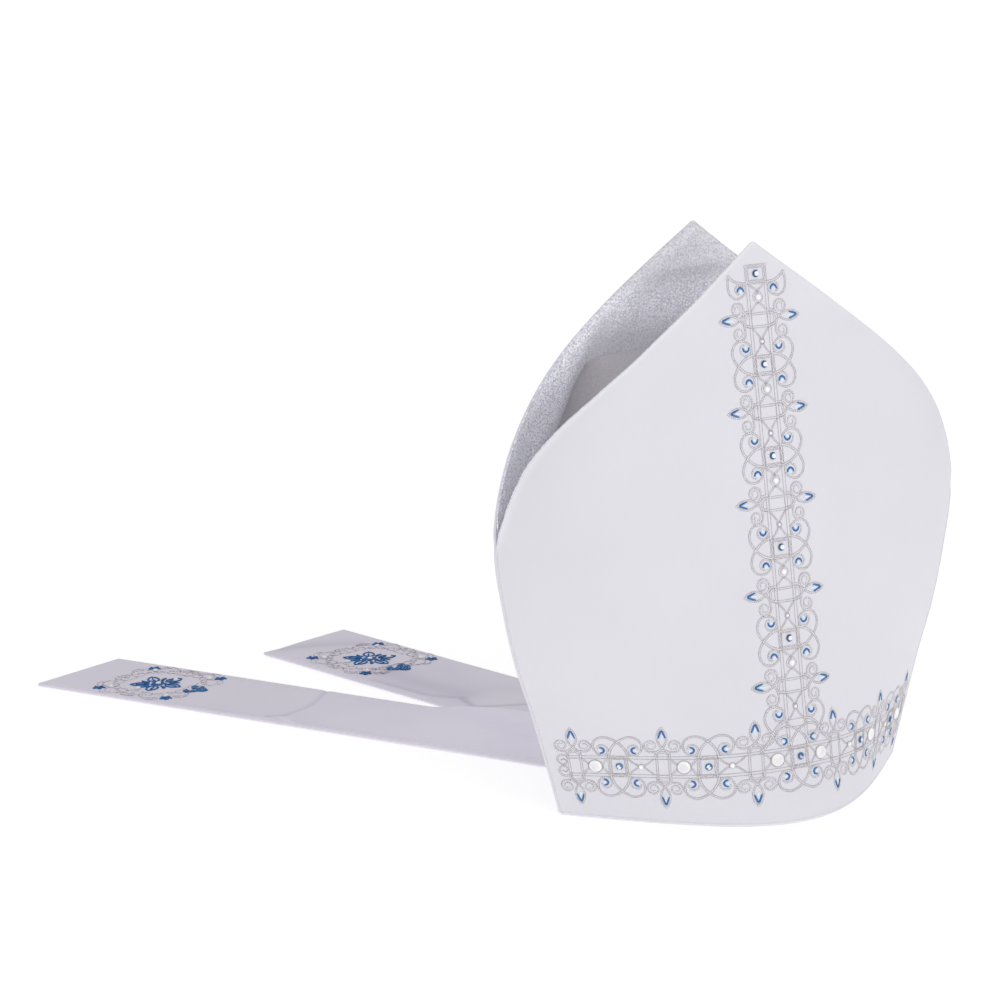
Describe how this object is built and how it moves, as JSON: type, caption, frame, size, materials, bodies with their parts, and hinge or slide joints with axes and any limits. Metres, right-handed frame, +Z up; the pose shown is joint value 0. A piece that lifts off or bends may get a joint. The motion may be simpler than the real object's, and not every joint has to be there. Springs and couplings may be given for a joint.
{
  "type": "bishop's mitre",
  "caption": "White satin bishop's mitre with two pointed panels, a soft web between them, beaded bands up the front and round the hem, and two lappets laid out behind.",
  "frame": {"origin": "middle of the head opening, level with the hem that the mitre stands on", "axes": "+Z up from the hem to the points, -Y out of the embroidered front panel, +X to the viewer's right when the front panel faces them"},
  "size_m": [0.4204, 0.4863, 0.3161],
  "materials": {
    "white_satin": "white duchess satin over a stiffener, with silver grey and blue embroidery",
    "silver_lining": "silver lame lining with a fine glittering grain",
    "web_lining": "grey brown lining satin",
    "pearl": "white pearl bead, glued down",
    "crystal": "pale blue flat-backed cut crystal with a foil back"
  },
  "bodies": {
    "root": {"front_panel": "white_satin", "back_panel": "white_satin", "front_lining": "silver_lining", "back_lining": "silver_lining", "crown_web": "web_lining", "lappet_left": "white_satin", "lappet_right": "white_satin", "crystal_upright_1": "crystal", "crystal_upright_2": "crystal", "crystal_upright_3": "crystal", "crystal_upright_4": "crystal", "crystal_upright_5": "crystal", "crystal_base_1": "crystal", "crystal_base_2": "crystal", "crystal_base_3": "crystal", "crystal_base_4": "crystal", "crystal_base_5": "crystal", "pearl_upright_1": "pearl", "pearl_upright_2": "pearl", "pearl_upright_3": "pearl", "pearl_upright_4": "pearl", "pearl_upright_5": "pearl", "pearl_base_left_1": "pearl", "pearl_base_left_2": "pearl", "pearl_base_left_3": "pearl", "pearl_base_right_1": "pearl", "pearl_base_right_2": "pearl", "pearl_base_right_3": "pearl"}
  },
  "joints": []
}
